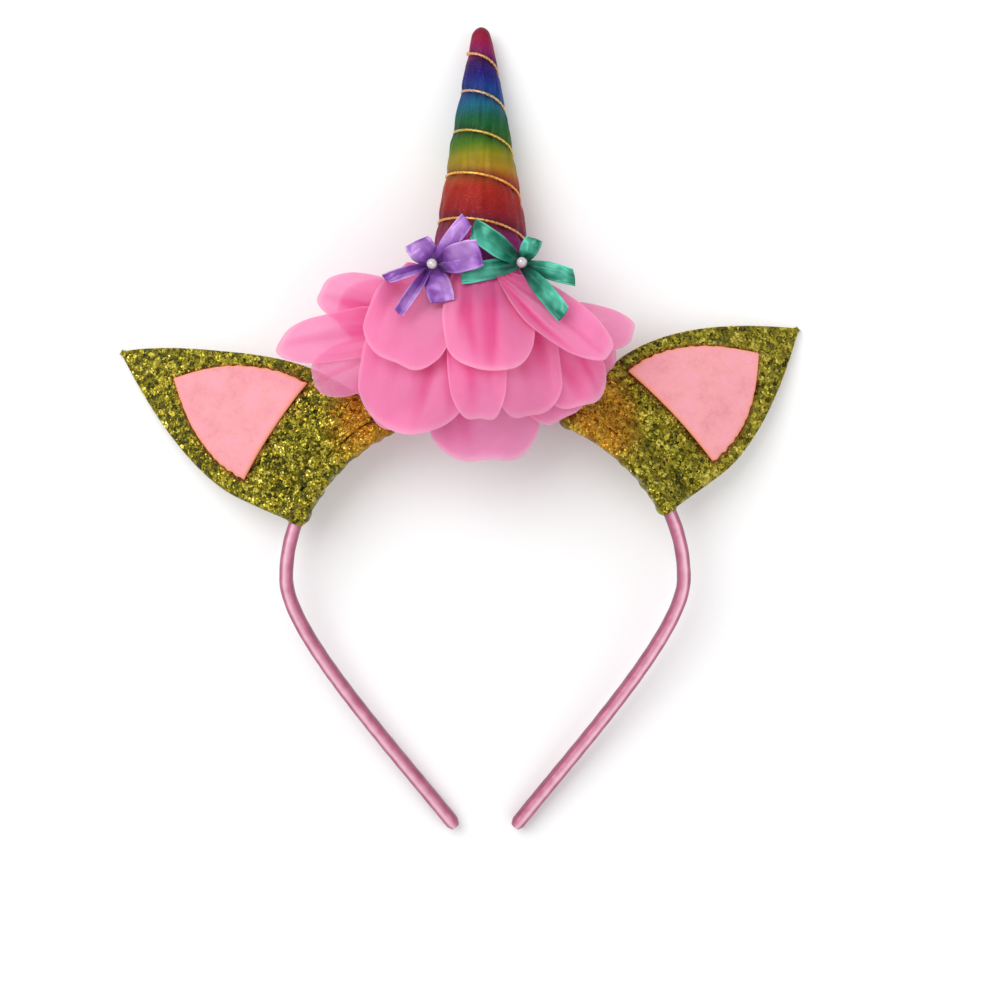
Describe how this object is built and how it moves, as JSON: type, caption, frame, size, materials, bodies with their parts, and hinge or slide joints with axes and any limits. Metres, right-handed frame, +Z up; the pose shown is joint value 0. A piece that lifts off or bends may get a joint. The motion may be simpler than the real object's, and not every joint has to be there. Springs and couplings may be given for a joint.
{
  "type": "unicorn horn headband",
  "caption": "Hair band with a stuffed rainbow horn wound with gold cord, glitter ears with felt patches, a pink chiffon ruffle and ribbon flowers with pearls.",
  "frame": {"origin": "under the middle of the whole object, on the surface that it lies on", "axes": "+Z up, +Y from the band's open ends to the horn's tip, +X to the viewer's right from above"},
  "size_m": [0.218, 0.2554, 0.0577],
  "materials": {
    "satin_band": "satin",
    "rainbow_fabric": "metallic satin",
    "gold_cord": "metallic thread",
    "glitter_fabric": "glitter",
    "pink_felt": "matte",
    "pink_chiffon": "sheer",
    "lilac_ribbon": "satin",
    "teal_ribbon": "satin",
    "pearl": "pearl"
  },
  "bodies": {
    "root": {"headband": "satin_band", "horn": "rainbow_fabric", "horn_cord": "gold_cord", "ear_left": "glitter_fabric", "ear_felt_left": "pink_felt", "ear_right": "glitter_fabric", "ear_felt_right": "pink_felt", "ruffle_front_left": "pink_chiffon", "ruffle_front_centre": "pink_chiffon", "ruffle_front_right": "pink_chiffon", "ruffle_middle_left": "pink_chiffon", "ruffle_middle_centre": "pink_chiffon", "ruffle_middle_right": "pink_chiffon", "ruffle_middle_far_right": "pink_chiffon", "ruffle_under_left": "pink_chiffon", "ruffle_under_centre": "pink_chiffon", "ruffle_under_right": "pink_chiffon", "ruffle_side_right_upper": "pink_chiffon", "ruffle_side_right_lower": "pink_chiffon", "ruffle_side_left_upper": "pink_chiffon", "ruffle_side_left_middle": "pink_chiffon", "ruffle_side_left_lower": "pink_chiffon", "ruffle_back_right": "pink_chiffon", "ruffle_back_left": "pink_chiffon", "ruffle_back_left_lower": "pink_chiffon", "ruffle_back_right_lower": "pink_chiffon", "flower_lilac_ribbon": "lilac_ribbon", "flower_lilac_pearl": "pearl", "flower_teal_ribbon": "teal_ribbon", "flower_teal_pearl": "pearl"}
  },
  "joints": []
}
